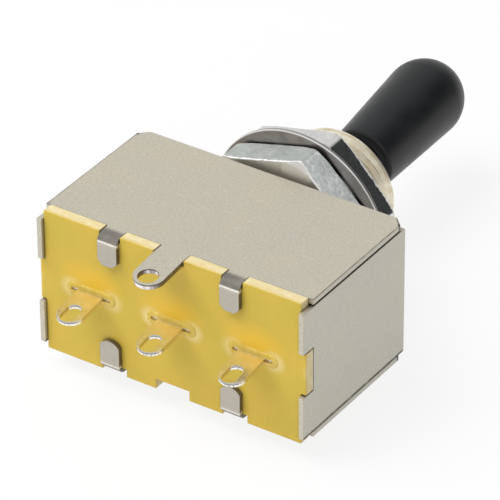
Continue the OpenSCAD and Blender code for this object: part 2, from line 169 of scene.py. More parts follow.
def unsigned(tree, source):
    """A socket's value without its sign."""
    return combine(tree, "ABSOLUTE", source, 0)


def gap_to(tree, source, value):
    """How far a socket's value lies from the given one."""
    return unsigned(tree, combine(tree, "SUBTRACT", source, value))


def shaded_in_crevices(tree, hue, reach, share, shade_hue):
    """Tints a colour towards a painted shade where other surfaces shut the spot in within the
    reach.
    """
    open_air = tree.nodes.new("ShaderNodeAmbientOcclusion")
    open_air.samples = 8
    open_air.inputs["Distance"].default_value = reach
    return tint(tree, ramp(tree, open_air.outputs["AO"], 0.35, 0.8, share, 0), hue, shade_hue)


def split_axes(tree, vector):
    """The X, Y and Z sockets of a vector socket."""
    split = tree.nodes.new("ShaderNodeSeparateXYZ")
    tree.links.new(vector, split.inputs["Vector"])
    return split.outputs["X"], split.outputs["Y"], split.outputs["Z"]


def product(tree, *factors):
    """The product of several sockets or numbers."""
    total = factors[0]
    for factor in factors[1:]:
        total = combine(tree, "MULTIPLY", total, factor)
    return total


def off_plane(tree, along, height, start, middle, slope):
    """Height above the middle plane of a strip that slopes from the given start."""
    run = combine(tree, "SUBTRACT", along, start)
    plane = combine(tree, "ADD", combine(tree, "MULTIPLY", run, slope), middle)
    return combine(tree, "SUBTRACT", height, plane)


def dress(node, finish):
    """Gives a carried-over CAD node its finish."""
    slots = frame["nodes"][node].data.materials
    slots.clear()
    slots.append(finish)


def on_sheet(tree, place):
    """Sockets for where a spot of the sheet lies and which way it faces."""
    across, along, up = split_axes(tree, place)
    right, front, top = split_axes(tree, place.node.outputs["Normal"])
    side = unsigned(tree, across)
    return SimpleNamespace(
        across=across, along=along, up=up, right=right, front=front, top=top,
        depth=combine(tree, "SUBTRACT", sheet_top, unsigned(tree, up)),
        from_end=combine(tree, "SUBTRACT", sheet_end, side),
        from_tab=gap_to(tree, side, tab_x), from_lug=gap_to(tree, across, lug_x),
        past_board=ramp(tree, along, wall_rear - 1.2 * MM, wall_rear - 1.3 * MM))


def dull_nickel(tree, place, grain, smudge):
    """Soft clouds and a fine grain, with specks and a few scratches."""
    cloud = mottle(tree, place, 5 * MM, 4)
    speck = mottle(tree, place, 0.2 * MM, 1)
    scratch = mottle(tree, stretched(tree, place, (0.10, 1, 1), (0, 0, 0.5)), 0.16 * MM, 2)
    hue = tint(tree, ramp(tree, cloud, 0.35, 0.65), (0.57, 0.54, 0.445), (0.60, 0.55, 0.44))
    for pattern, low, high, share, over in (
            (grain, 0.45, 0.65, 0.6, (0.76, 0.705, 0.59)),
            (grain, 0.46, 0.34, 0.35, (0.44, 0.41, 0.34)),
            (smudge, 0.60, 0.75, 0.2, (0.48, 0.45, 0.40)),
            (speck, 0.72, 0.78, 0.5, (0.40, 0.37, 0.31)),
            (scratch, 0.66, 0.72, 0.55, (0.80, 0.77, 0.68))):
        hue = tint(tree, ramp(tree, pattern, low, high, 0, share), hue, over)
    return hue


def arris_and_shade(tree, spot, smudge):
    """The walls' darker blanked arris at the ends and cut corners, and painted shade at the rear
    by the board.
    """
    rear_line = product(
        tree, ramp(tree, gap_to(tree, spot.along, wall_rear), 0.14 * MM, 0.04 * MM),
        ramp(tree, spot.from_tab, tab_half, tab_half + fade),
        ramp(tree, spot.from_lug, lug_half, lug_half + fade))
    reach = combine(tree, "ADD", spot.across, spot.along)
    from_cut = combine(tree, "SUBTRACT", sheet_end + panel_y - corner_cut, reach)
    line = combine(tree, "MAXIMUM", ramp(tree, spot.from_end, 0.13 * MM, 0.05 * MM), rear_line)
    line = combine(tree, "MAXIMUM", line, ramp(tree, from_cut, 0.24 * MM, 0.14 * MM))
    return product(
        tree, line, ramp(tree, spot.depth, 0.05 * MM, 0.02 * MM),
        ramp(tree, smudge, 0.3, 0.55, 0.35, 0.9))


def corner_hole_shade(tree, spot):
    """A painted shade spot for the small hole where a wall's cut corner meets the end wall."""
    from_corner = combine(
        tree, "ADD", gap_to(tree, spot.along, panel_y - corner_cut), unsigned(tree, spot.from_end))
    return product(
        tree, ramp(tree, from_corner, 0.34 * MM, 0.24 * MM),
        ramp(tree, spot.depth, 0.80 * MM, 0.70 * MM))


def foot_seam(tree, spot, end_face, smudge):
    """The dark seam along the foot of each end wall."""
    return product(
        tree, end_face, ramp(tree, spot.up, 0, -1 * MM),
        ramp(tree, spot.depth, 0.80 * MM, 0.72 * MM), ramp(tree, spot.depth, 0.48 * MM, 0.52 * MM),
        ramp(tree, smudge, 0.3, 0.5, 0.5, 1))


def marked_tabs(tree, spot, grain, smudge, hue):
    """Tabs: painted shade on faces and folds, a painted glint below each fold, and darker cut
    edges with painted shade on the right; gives glint and edges.
    """
    on_tab = ramp(tree, spot.from_tab, tab_half + 2 * fade, tab_half + fade)
    past_wall = ramp(tree, spot.along, wall_rear - 0.15 * MM, wall_rear - 0.6 * MM)
    face = product(
        tree, on_tab, ramp(tree, spot.front, -0.8, -0.95),
        ramp(tree, spot.depth, 0.7 * MM, 1.1 * MM), 0.5)
    fold_shade = product(
        tree, on_tab, past_wall, ramp(tree, spot.depth, 0.66 * MM, 0.56 * MM),
        ramp(tree, smudge, 0.3, 0.6, 0.75, 0.95))
    glint = product(
        tree, on_tab, past_wall, ramp(tree, spot.depth, 0.82 * MM, 0.77 * MM),
        ramp(tree, spot.depth, 0.64 * MM, 0.70 * MM), ramp(tree, grain, 0.38, 0.5, 0.35, 0.95))
    edge = product(
        tree, on_tab, spot.past_board, ramp(tree, unsigned(tree, spot.front), 0.6, 0.3),
        ramp(tree, spot.depth, 0.95 * MM, 1.05 * MM), ramp(tree, spot.right, -0.5, 0.2, 0.35, 0.9))
    # The face and fold marks are painted shade, the glint is a painted highlight, and the edge is
    # a darker cut edge with painted shade on the sides facing right.
    for mark, over in ((face, (0.40, 0.365, 0.34)), (fold_shade, (0.20, 0.185, 0.165)),
                       (glint, (0.97, 0.96, 0.94)), (edge, (0.13, 0.10, 0.065))):
        hue = tint(tree, mark, hue, over)
    return hue, combine(tree, "MAXIMUM", glint, edge)


def marked_lug(tree, place, spot, hue):
    """Colours the lug's cut edge: a painted dark reflection above, streaked painted highlights
    below, painted shade on the right.
    """
    streak = mottle(tree, stretched(tree, place, (1, 1, 0.1)), 0.4 * MM, 2)
    middle_z = sheet_top - sheet_t / 2
    through = off_plane(tree, spot.along, spot.up, lug_fold_y, middle_z, lug_slope)
    # The streaks below are painted highlights, darkened by painted shade where the edge faces
    # right, and the band above is a painted dark reflection.
    torn_glint = tint(tree, ramp(tree, streak, 0.42, 0.58), (0.95, 0.90, 0.90), (0.40, 0.33, 0.36))
    torn_glint = tint(tree, ramp(tree, spot.right, 0.55, 0.9), torn_glint, (0.20, 0.16, 0.11))
    sheared = tint(tree, ramp(tree, through, 0.14 * MM, 0.09 * MM), (0.10, 0.09, 0.08), torn_glint)
    edge = product(
        tree, ramp(tree, spot.from_lug, lug_half + 2 * fade, lug_half + fade), spot.past_board,
        ramp(tree, unsigned(tree, spot.top), 0.7, 0.4))
    return tint(tree, edge, hue, sheared), edge


def plated_sheet():
    finish, tree, shader, place = begin_finish("plated_sheet", (0.57, 0.53, 0.43), 0.6, 0.42)
    spot = on_sheet(tree, place)
    grain = mottle(tree, stretched(tree, place, (0.8, 1.1, 1), (0, 0, 0.4)), 0.19 * MM, 4, 0.7)
    smudge = mottle(tree, place, 1.1 * MM, 3)
    end_face = ramp(tree, unsigned(tree, spot.right), 0.8, 0.95)
    hue = dull_nickel(tree, place, grain, smudge)
    # The arris is darker and partly painted shade, the corner spot and the greyer end walls are
    # painted shade, and the foot seam is a dark joint.
    for mark, over in (
            (arris_and_shade(tree, spot, smudge), (0.17, 0.14, 0.10)),
            (corner_hole_shade(tree, spot), (0.03, 0.025, 0.02)),
            (product(tree, end_face, 0.3), (0.42, 0.44, 0.41)),
            (foot_seam(tree, spot, end_face, smudge), (0.10, 0.08, 0.06))):
        hue = tint(tree, mark, hue, over)
    hue, tab_glints_and_edges = marked_tabs(tree, spot, grain, smudge, hue)
    hue, lug_edge = marked_lug(tree, place, spot, hue)
    # Painted shade where other surfaces shut the sheet in.
    hue = shaded_in_crevices(tree, hue, 0.5 * MM, 0.85, (0.09, 0.07, 0.05))
    tree.links.new(hue, shader.inputs["Base Color"])
    glints_and_cut_edges = combine(tree, "MAXIMUM", lug_edge, tab_glints_and_edges)
    dull = product(tree, ramp(tree, grain, 0.3, 0.7, 0.36, 0.5), ramp(tree, glints_and_cut_edges, 0, 1, 1, 0.45))
    tree.links.new(dull, shader.inputs["Roughness"])
    relief(tree, shader, grain, 0.012 * MM, 0.09 * MM)
    return finish


dress("case", plated_sheet())


# Terminal board: 1.2 mm yellow laminate, punched, with three slots, and held by the case's
# tabs. The punched edges are paler than the faces, and the laminate is a deeper orange
# where the strips pass through.

board_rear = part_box("terminal_board")[0].y
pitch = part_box("seal_right")[0].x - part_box("seal_common")[0].x
blade_z = (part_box("seal_common")[0].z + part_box("seal_common")[1].z) / 2


def length_of(tree, first, second):
    """The length of a flat vector, given by two sockets."""
    squares = [combine(tree, "POWER", unsigned(tree, part), 2) for part in (first, second)]
    return combine(tree, "SQRT", combine(tree, "ADD", *squares), 0)


def around_slots(tree, place, centre_z, half_x, half_z, off=0.0):
    """Distance from the nearest slot's centre or ends, 1 on an ellipse of the given halves."""
    across, _, up = split_axes(tree, place)
    wrap = tree.nodes.new("ShaderNodeMath")
    wrap.operation = "WRAP"
    wrap.inputs[1].default_value = pitch / 2
    wrap.inputs[2].default_value = -pitch / 2
    tree.links.new(across, wrap.inputs[0])
    beside = combine(tree, "SUBTRACT", unsigned(tree, wrap.outputs["Value"]), off)
    above = combine(tree, "SUBTRACT", up, centre_z)
    beside = combine(tree, "DIVIDE", beside, half_x)
    above = combine(tree, "DIVIDE", above, half_z)
    return length_of(tree, beside, above)


def yellow_laminate():
    finish, tree, shader, place = begin_finish("yellow_laminate", (0.66, 0.47, 0.07), 0, 0.42)
    cloud = mottle(tree, place, 4 * MM, 3)
    paper = mottle(tree, place, 0.3 * MM, 3)
    hue = tint(tree, ramp(tree, cloud, 0.35, 0.65), (0.64, 0.48, 0.062), (0.70, 0.49, 0.067))
    glow = around_slots(tree, place, blade_z + 1.1 * MM, half_x=3.9 * MM, half_z=2.6 * MM)
    hue = tint(tree, ramp(tree, glow, 1, 0.2, 0, 0.85), hue, (0.93, 0.575, 0.045))
    # Pale patches at each slot's ends are painted highlights of the resin.
    slot_end_glint = around_slots(tree, place, blade_z, half_x=1.3 * MM, half_z=1.2 * MM, off=2.2 * MM)
    slot_end_glint = product(tree, ramp(tree, slot_end_glint, 1.1, 0.3, 0, 0.75), ramp(tree, cloud, 0.3, 0.6, 0.5, 1))
    hue = tint(tree, slot_end_glint, hue, (0.90, 0.78, 0.42))
    front = split_axes(tree, place.node.outputs["Normal"])[1]
    layer = mottle(tree, stretched(tree, place, (0.5, 2, 0.5)), 0.5 * MM, 4, 0.65)
    punched = tint(tree, ramp(tree, layer, 0.35, 0.65), (0.70, 0.56, 0.26), (0.80, 0.70, 0.44))
    along = split_axes(tree, place)[1]
    near_face = ramp(tree, along, board_rear + 0.4 * MM, board_rear, 0, 0.7)
    punched = tint(tree, near_face, punched, hue)
    hue = tint(tree, ramp(tree, unsigned(tree, front), 0.9, 0.4), hue, punched)
    hue = tint(tree, ramp(tree, paper, 0.62, 0.75, 0, 0.25), hue, (0.85, 0.70, 0.30))
    # Painted shade where other parts shut the board in.
    hue = shaded_in_crevices(tree, hue, 0.35 * MM, 0.6, (0.24, 0.16, 0.03))
    tree.links.new(hue, shader.inputs["Base Color"])
    tree.links.new(ramp(tree, paper, 0.3, 0.7, 0.34, 0.5), shader.inputs["Roughness"])
    shader.inputs["Specular IOR Level"].default_value = 0.3
    shader.inputs["Subsurface Weight"].default_value = 0.15
    shader.inputs["Subsurface Radius"].default_value = (1.0, 0.6, 0.2)
    shader.inputs["Subsurface Scale"].default_value = 0.6 * MM
    relief(tree, shader, paper, 0.01 * MM, 0.12 * MM)
    return finish


dress("terminal_board", yellow_laminate())


# Terminals: three strips of tinned brass, each with a contact plate inside the case and
# a solder blade with a long eye behind the board. Rolled and tinned, so they shine.

blade_slope = tan(radians(7.5))


def tinned_strip():
    finish, tree, shader, place = begin_finish("tinned_strip", (0.93, 0.87, 0.68), 0.9, 0.14)
    smear = mottle(tree, place, 0.8 * MM, 3)
    pit = mottle(tree, place, 0.25 * MM, 2)
    hue = tint(tree, ramp(tree, smear, 0.35, 0.65), (0.88, 0.80, 0.52), (0.94, 0.88, 0.68))
    # The strips' cut edges are painted: a grey upper band, a painted dark line, streaked painted
    # highlights below the middle, and a painted yellow reflection of the board on the edges facing
    # sideways; the shoulders are a plain grey.
    along, up = split_axes(tree, place)[1:]
    through = off_plane(tree, along, up, board_rear, blade_z, blade_slope)
    streak = mottle(tree, stretched(tree, place, (1, 1, 0.1)), 0.2 * MM, 2)
    torn_glint = tint(tree, ramp(tree, streak, 0.38, 0.5), (0.62, 0.58, 0.50), (0.97, 0.96, 0.92))
    smooth = ramp(tree, through, 0.10 * MM, 0.07 * MM)
    edge = tint(tree, smooth, (0.50, 0.51, 0.52), (0.06, 0.055, 0.05))
    edge = tint(tree, ramp(tree, through, 0.03 * MM, -0.01 * MM), edge, torn_glint)
    right, front, top = [
        unsigned(tree, part) for part in split_axes(tree, place.node.outputs["Normal"])]
    edge = tint(tree, ramp(tree, right, 0.75, 0.98, 0, 0.75), edge, (0.90, 0.74, 0.42))
    shoulder = product(
        tree, ramp(tree, front, 0.8, 0.95),
        ramp(tree, along, board_rear - 0.1 * MM, board_rear - 0.05 * MM))
    edge = tint(tree, shoulder, edge, (0.62, 0.58, 0.50))
    hue = tint(tree, ramp(tree, top, 0.6, 0.3), hue, edge)
    # Painted shade where other surfaces shut the strip in.
    hue = shaded_in_crevices(tree, hue, 0.3 * MM, 0.35, (0.45, 0.30, 0.12))
    tree.links.new(hue, shader.inputs["Base Color"])
    tree.links.new(ramp(tree, smear, 0.3, 0.7, 0.08, 0.2), shader.inputs["Roughness"])
    relief(tree, shader, pit, 0.03 * MM, 0.05 * MM)
    return finish


terminal_finish = tinned_strip()
for terminal in ("terminal_left", "terminal_common", "terminal_right"):
    dress(terminal, terminal_finish)


# Resin seals: a little clear amber resin is run round each strip where it leaves the
# board. It sets as a low ring that swells round the slot and leaves a narrow mouth.

lip_r = 0.19 * MM
seal_fullness = 0.8


def amber_resin():
    finish, tree, shader, place = begin_finish("amber_resin", (0.68, 0.48, 0.08), 0, 0.22)
    swirl = mottle(tree, place, 0.6 * MM, 3)
    hue = tint(tree, ramp(tree, swirl, 0.4, 0.7), (0.66, 0.46, 0.065), (0.74, 0.54, 0.13))
    tree.links.new(hue, shader.inputs["Base Color"])
    tree.links.new(ramp(tree, swirl, 0.3, 0.7, 0.16, 0.32), shader.inputs["Roughness"])
    shader.inputs["Specular IOR Level"].default_value = 0.35
    relief(tree, shader, swirl, 0.03 * MM)
    return finish


def extruded_rim(mesh, rim):
    """Extrudes a closed rim of edges in place and gives the new rim."""
    grown = bmesh.ops.extrude_edge_only(mesh, edges=rim)["geom"]
    fresh = {part for part in grown if isinstance(part, bmesh.types.BMVert)}
    return [part for part in grown if isinstance(part, bmesh.types.BMEdge)
            and all(vert in fresh for vert in part.verts)]


def finish_piece(mesh, name, finish, body, replaced, smooth_angle=35):
    """Turns a bmesh into a piece that rides on a body and takes the place of CAD nodes."""
    bmesh.ops.remove_doubles(mesh, verts=mesh.verts, dist=1e-7)
    bmesh.ops.recalc_face_normals(mesh, faces=mesh.faces)
    for face in mesh.faces:
        face.smooth = True
    for edge in mesh.edges:
        edge.smooth = not edge.is_manifold or edge.calc_face_angle(0) < radians(smooth_angle)
    data = bpy.data.meshes.new(name)
    mesh.to_mesh(data)
    mesh.free()
    data.materials.append(finish)
    piece = bpy.data.objects.new(name, data)
    bpy.context.scene.collection.objects.link(piece)
    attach(piece, body)
    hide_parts(*replaced)


def resin_seal(node):
    low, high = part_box(node)
    middle = (low + high) / 2
    end_r = (high.z - low.z) / 2
    reach = (high.x - low.x) / 2 - end_r
    height = high.y - low.y
    mesh = bmesh.new()
    bmesh.ops.create_circle(mesh, segments=64, radius=end_r)
    bmesh.ops.rotate(mesh, verts=mesh.verts, matrix=Matrix.Rotation(pi / 2, 3, "X"))
    for vert in mesh.verts:
        vert.co.x += reach if vert.co.x > 0 else -reach
    bmesh.ops.translate(mesh, verts=mesh.verts, vec=(middle.x, high.y, middle.z))
    foot = list(mesh.edges)
    rim = foot
    steps = 6
    radius = end_r
    for step in range(1, steps + 2):
        turn = min(step, steps) / steps * pi / 2
        rise = high.y - height * sin(turn) if step <= steps else high.y
        shrink = (lip_r + (end_r - lip_r) * cos(turn) ** seal_fullness) / radius
        radius *= shrink
        rim = extruded_rim(mesh, rim)
        for vert in {vert for edge in rim for vert in edge.verts}:
            side = reach if vert.co.x > middle.x else -reach
            vert.co.x = middle.x + side + (vert.co.x - middle.x - side) * shrink
            vert.co.z = middle.z + (vert.co.z - middle.z) * shrink
            vert.co.y = rise
    bmesh.ops.bridge_loops(mesh, edges=foot + rim)
    finish_piece(mesh, "resin_" + node, resin_finish, "housing", [node], 80)


resin_finish = amber_resin()
for seal in ("seal_left", "seal_common", "seal_right"):
    resin_seal(seal)


# Inside the case: a brown moulded guide, a nylon carriage with its bridge and two coil
# springs, and the bronze detent leaf. They only show when the case is opened.

def moulded(name, color, roughness):
    finish, tree, shader, place = begin_finish(name, color, 0, roughness)
    cloud = mottle(tree, place, 2 * MM, 3)
    darker = tuple(0.8 * part for part in color)
    hue = tint(tree, ramp(tree, cloud, 0.35, 0.65), darker, color)
    tree.links.new(hue, shader.inputs["Base Color"])
    relief(tree, shader, mottle(tree, place, 0.2 * MM), 0.01 * MM)
    return finish


def drawn_metal(name, color, roughness):
    finish, tree, shader, place = begin_finish(name, color, 1, roughness)
    streak = mottle(tree, stretched(tree, place, (0.15, 1, 1)), 0.15 * MM, 3)
    darker = tuple(0.75 * part for part in color)
    hue = tint(tree, ramp(tree, streak, 0.35, 0.65), darker, color)
    tree.links.new(hue, shader.inputs["Base Color"])
    dull = ramp(tree, streak, 0.3, 0.7, roughness, roughness + 0.15)
    tree.links.new(dull, shader.inputs["Roughness"])
    relief(tree, shader, streak, 0.004 * MM)
    return finish


dress("guide_frame", moulded("brown_moulding", (0.12, 0.05, 0.03), 0.4))
dress("carriage", moulded("nylon_moulding", (0.75, 0.72, 0.62), 0.45))
spring_bronze = drawn_metal("spring_bronze", (0.70, 0.52, 0.25), 0.25)
spring_wire = drawn_metal("spring_wire", (0.55, 0.55, 0.54), 0.2)
dress("contact_bridge", spring_bronze)
dress("detent_spring", spring_bronze)
dress("contact_spring_left", spring_wire)
dress("contact_spring_right", spring_wire)


# Bushing: turned brass with a fine thread of 0.75 mm pitch, nickel plated thinly enough
# for the brass to show at the crests. Its neck is swaged into the case's front panel, and
# a sleeve pressed in behind keeps the lever's ball in its seat.

bush_low, bush_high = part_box("bushing")
sleeve_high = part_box("retaining_sleeve")[1]
pivot_y = frame["joints"][0]["pos_m"][1]
thread_r = 5.95 * MM
thread_pitch = 0.75 * MM
thread_depth = 0.34 * MM
bush_bevel = 0.35 * MM
run_out = 0.45 * MM


def turned(mesh, outline, steps=128, closed=True):
    """Spins a (radius, y) outline about the bushing's axis."""
    verts = [mesh.verts.new((radius, y, 0)) for radius, y in outline]
    pairs = list(zip(verts, verts[1:]))
    if closed:
        pairs.append((verts[-1], verts[0]))
    edges = [mesh.edges.new(pair) for pair in pairs]
    bmesh.ops.spin(
        mesh, geom=verts + edges, cent=(0, 0, 0), axis=(0, 1, 0), angle=2 * pi,
        steps=steps, use_merge=True)


def thread_ridge(mesh, start_y, end_y):
    """A V ridge wound about the axis, run out into the bevels at both ends."""
    turns = round((end_y - start_y) / thread_pitch)
    steps = 64 * turns
    core_r = thread_r - thread_depth
    root = 0.42 * thread_pitch
    crest = 0.06 * thread_pitch
    section = [(core_r, -root), (thread_r, -crest), (thread_r, crest), (core_r, root)]
    verts = [mesh.verts.new((radius, start_y + y, 0)) for radius, y in section]
    edges = [mesh.edges.new(pair) for pair in zip(verts, verts[1:] + verts[:1])]
    first = mesh.faces.new(verts)
    before = set(mesh.verts) - set(verts)
    bmesh.ops.spin(
        mesh, geom=verts + edges + [first], cent=(0, 0, 0), axis=(0, 1, 0),
        dvec=(0, (end_y - start_y) / steps, 0), angle=2 * pi * turns, steps=steps)
    sunk_r = thread_r - 1.05 * thread_depth
    run_out_slope = 0.9
    for vert in set(mesh.verts) - before:
        radius = hypot(vert.co.x, vert.co.z)
        room = min(vert.co.y - start_y, end_y - vert.co.y) + run_out
        limit = sunk_r + max(0, room) * run_out_slope
        if radius > limit:
            vert.co.x *= limit / radius
            vert.co.z *= limit / radius


def worn_brass():
    finish, tree, shader, place = begin_finish("worn_brass", (0.75, 0.67, 0.50), 0.75, 0.3)
    stain = mottle(tree, place, 1.2 * MM, 4, 0.65)
    fine = mottle(tree, place, 0.15 * MM, 3)
    hue = tint(tree, ramp(tree, stain, 0.35, 0.65), (0.97, 0.93, 0.80), (0.80, 0.70, 0.50))
    hue = tint(tree, ramp(tree, fine, 0.55, 0.72, 0, 0.6), hue, (0.95, 0.93, 0.86))
    tree.links.new(hue, shader.inputs["Base Color"])
    tree.links.new(ramp(tree, stain, 0.3, 0.7, 0.22, 0.42), shader.inputs["Roughness"])
    relief(tree, shader, fine, 0.01 * MM)
    return finish


def threaded_bushing():
    core_r = thread_r - thread_depth
    neck_r = thread_r - 0.9 * MM
    flange_t = 0.8 * MM
    socket_r = 3.15 * MM
    mouth_r = 2.635 * MM
    mouth_bevel = 0.45 * MM
    edge_break = 0.1 * MM
    rim_break = 0.12 * MM
    start_bevel = panel_y + bush_bevel
    end_bevel = bush_high.y - bush_bevel
    seat_steps = 8
    seat_end = atan2(sqrt(socket_r ** 2 - mouth_r ** 2), mouth_r)
    seat_turns = [seat_end * step / seat_steps for step in range(seat_steps, -1, -1)]
    seat = [(socket_r * cos(turn), pivot_y + socket_r * sin(turn)) for turn in seat_turns]
    outline = [
        (sleeve_high.x, bush_low.y), (bush_high.x, bush_low.y),
        (bush_high.x, bush_low.y + flange_t), (neck_r, bush_low.y + flange_t),
        (neck_r, panel_y), (core_r - edge_break, panel_y), (core_r, start_bevel),
        (core_r, end_bevel - edge_break), (thread_r, end_bevel + edge_break / 2),
        (thread_r, bush_high.y - edge_break), (thread_r - rim_break, bush_high.y),
        (mouth_r + mouth_bevel, bush_high.y), (mouth_r, bush_high.y - mouth_bevel),
        *seat, (socket_r, sleeve_high.y), (sleeve_high.x, sleeve_high.y),
    ]
    mesh = bmesh.new()
    turned(mesh, outline)
    thread_ridge(mesh, start_bevel + edge_break, end_bevel - edge_break / 2)
    finish_piece(mesh, "threaded_bushing", brass_finish, "housing", ["bushing"])


brass_finish = worn_brass()
dress("retaining_sleeve", brass_finish)
threaded_bushing()


# Nuts: two flat hexagons of 16 mm across flats, cut from bar and zinc plated. The lower
# one is chamfered towards the case and the upper one towards the lever. Their edges carry
# jagged painted glints, strongest on the edges facing right.

across_flats = 16 * MM
chamfer_r = 8.4 * MM
chamfer_w = 0.2 * MM
chamfer_slope = tan(radians(18))
back_slope = tan(radians(24))
seat_r = across_flats / 2 - 0.1 * MM
seat_h = 0.2 * MM
blunt = 0.05 * MM
rounding_and_glint_w = 0.5 * MM
bore_r = thread_r + 0.02 * MM
bore_bevel = 0.5 * MM
bore_bevel_h = 0.4 * MM


def zinc_plate(name, light, dark, pale, metallic, roughness, off_side_glint):
    """Stained zinc with pale blotches, painted lighter on the flats to the right, and jagged
    painted glints on the edges.
    """
    finish, tree, shader, place = begin_finish(name, light, metallic, roughness)
    stain = mottle(tree, place, 1.7 * MM, 4, 0.6)
    bloom = mottle(tree, place, 0.4 * MM, 3, 0.6)
    right, front = split_axes(tree, place.node.outputs["Normal"])[:2]
    faced = ramp(tree, unsigned(tree, front), 0.80, 0.88)
    rounding_and_glint_weight = tree.nodes.new("ShaderNodeAttribute")
    rounding_and_glint_weight.attribute_name = "rounding_and_glint"
    # Jagged painted glints along the rounded edges, strongest where they face right.
    chipped_glints = combine(tree, "ADD", rounding_and_glint_weight.outputs["Fac"], ramp(tree, bloom, 0.3, 0.7, -0.25, 0.25))
    chipped_glints = product(tree, ramp(tree, chipped_glints, 0.6, 0.75), ramp(tree, right, 0.2, 0.5, off_side_glint, 1))
    blotch_and_light = tint(tree, ramp(tree, bloom, 0.35, 0.65), (0.56, 0.60, 0.61), (0.92, 0.95, 0.92))
    blotch_and_light = tint(tree, ramp(tree, stain, 0.4, 0.65, 0, 0.45), blotch_and_light, (0.45, 0.48, 0.48))
    hue = tint(tree, ramp(tree, stain, 0.38, 0.62), light, dark)
    hue = tint(tree, ramp(tree, bloom, 0.5, 0.72, 0, 0.6), hue, pale)
    # Flats facing right are painted lighter, painted light over the pale blotches.
    hue = tint(tree, ramp(tree, right, 0.4, 0.65, 0, 0.9), hue, blotch_and_light)
    hue = tint(tree, chipped_glints, hue, (0.95, 0.94, 0.92))
    hue = tint(tree, faced, hue, (0.80, 0.785, 0.75))
    # Painted shade where other surfaces shut the nut in.
    hue = shaded_in_crevices(tree, hue, 0.6 * MM, 0.8, (0.04, 0.04, 0.045))
    tree.links.new(hue, shader.inputs["Base Color"])
    # The painted glints are made less metallic.
    chipped_glint_metal = ramp(tree, chipped_glints, 0.3, 0.8, metallic, 0.3 * metallic)
    shine = combine(tree, "MAXIMUM", product(tree, faced, 0.9), chipped_glint_metal)
    tree.links.new(shine, shader.inputs["Metallic"])
    dull = ramp(tree, stain, 0.3, 0.7, roughness, roughness + 0.1)
    tree.links.new(dull, shader.inputs["Roughness"])
    blunted = ramp(tree, rounding_and_glint_weight.outputs["Fac"], 0.1, 0.6, 0.06 * MM, 0.32 * MM)
    relief(tree, shader, bloom, 0.008 * MM, blunted)
    return finish


def hex_reach(angle, turn, nut_corner):
    """Distance from the axis to the hexagon's side, its corners turned round."""
    off = (angle - turn) % (pi / 3) - pi / 6
    return min(across_flats / 2 / cos(off), nut_corner)


def nut_profile(angle, turn, nut_corner, chamfered_y, plain_y):
    """The nut's (radius, y, edge rounding and glint weight) at an angle, from its plain to its
    chamfered face.
    """
    way = 1 if chamfered_y > plain_y else -1
    reach = hex_reach(angle, turn, nut_corner)
    face_r = min(reach - blunt, chamfer_r)
    seat_y = plain_y + way * seat_h
    side_start = seat_y + way * max(blunt, (reach - chamfer_r) * back_slope)
    side_end = chamfered_y - way * max(0, reach - chamfer_r) * chamfer_slope
    rim_r = min(reach - blunt, chamfer_r + chamfer_w)
    rim_y = chamfered_y - way * max(0, rim_r - chamfer_r) * chamfer_slope
    return (
        (bore_r, plain_y, 0), (seat_r, plain_y, 0), (seat_r, seat_y, 0), (face_r, seat_y, 0),
        (reach, side_start, 0.4), (reach, side_start + way * 2 * blunt, 0),
        (reach, side_end - way * rounding_and_glint_w, 0), (reach, side_end - way * blunt, 1),
        (rim_r, rim_y, 0.4), (face_r, chamfered_y, 0.2),
        (thread_r + bore_bevel, chamfered_y, 0.2), (bore_r, chamfered_y - way * bore_bevel_h, 0))


def hexagon_nut(node, name, chamfered_y, plain_y, turn, nut_corner, finish):
    """Grows a nut ring by ring along its profile and closes it through its bore."""
    mesh = bmesh.new()
    rounding_and_glint = mesh.verts.layers.float.new("rounding_and_glint")
    bmesh.ops.create_circle(mesh, segments=360, radius=1)
    bmesh.ops.rotate(mesh, verts=mesh.verts, matrix=Matrix.Rotation(pi / 2, 3, "X"))
    bmesh.ops.rotate(mesh, verts=mesh.verts, matrix=Matrix.Rotation(-turn, 3, "Y"))
    first_rim = list(mesh.edges)
    rim = first_rim
    ring_count = len(nut_profile(0, turn, nut_corner, chamfered_y, plain_y))
    for ring in range(ring_count):
        if ring:
            rim = extruded_rim(mesh, rim)
        for vert in {vert for edge in rim for vert in edge.verts}:
            angle = atan2(vert.co.z, vert.co.x)
            radius, y, rounding_and_glint_weight = nut_profile(angle, turn, nut_corner, chamfered_y, plain_y)[ring]
            vert.co = (radius * cos(angle), y, radius * sin(angle))
            vert[rounding_and_glint] = rounding_and_glint_weight
    bmesh.ops.bridge_loops(mesh, edges=first_rim + rim)
    finish_piece(mesh, name, finish, "housing", [node], 20)


blued_zinc = zinc_plate(
    "blued_zinc", (0.40, 0.42, 0.395), (0.31, 0.335, 0.32), (0.56, 0.58, 0.56),
    metallic=0.12, roughness=0.36, off_side_glint=1)
bright_zinc = zinc_plate(
    "bright_zinc", (0.84, 0.83, 0.81), (0.72, 0.71, 0.70), (0.90, 0.90, 0.88),
    metallic=1, roughness=0.12, off_side_glint=0.3)
lower_low, lower_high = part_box("lower_nut")
upper_low, upper_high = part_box("upper_nut")
hexagon_nut("lower_nut", "lower_hexagon_nut", chamfered_y=lower_low.y, plain_y=lower_high.y,
            turn=radians(15), nut_corner=9.12 * MM, finish=blued_zinc)
hexagon_nut("upper_nut", "upper_hexagon_nut", chamfered_y=upper_high.y, plain_y=upper_low.y,
            turn=radians(13), nut_corner=9.02 * MM, finish=bright_zinc)


# Washer: a plain ring stamped from 0.4 mm steel. Its rim is rounded, with a painted highlight
# along its rear edge and a paler painted line along its front, and its faces are dulled by
# being turned between the nuts.

washer_low, washer_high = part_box("washer")
washer_r = washer_high.x
washer_round = 0.12 * MM
washer_hole_r = thread_r + 0.1 * MM


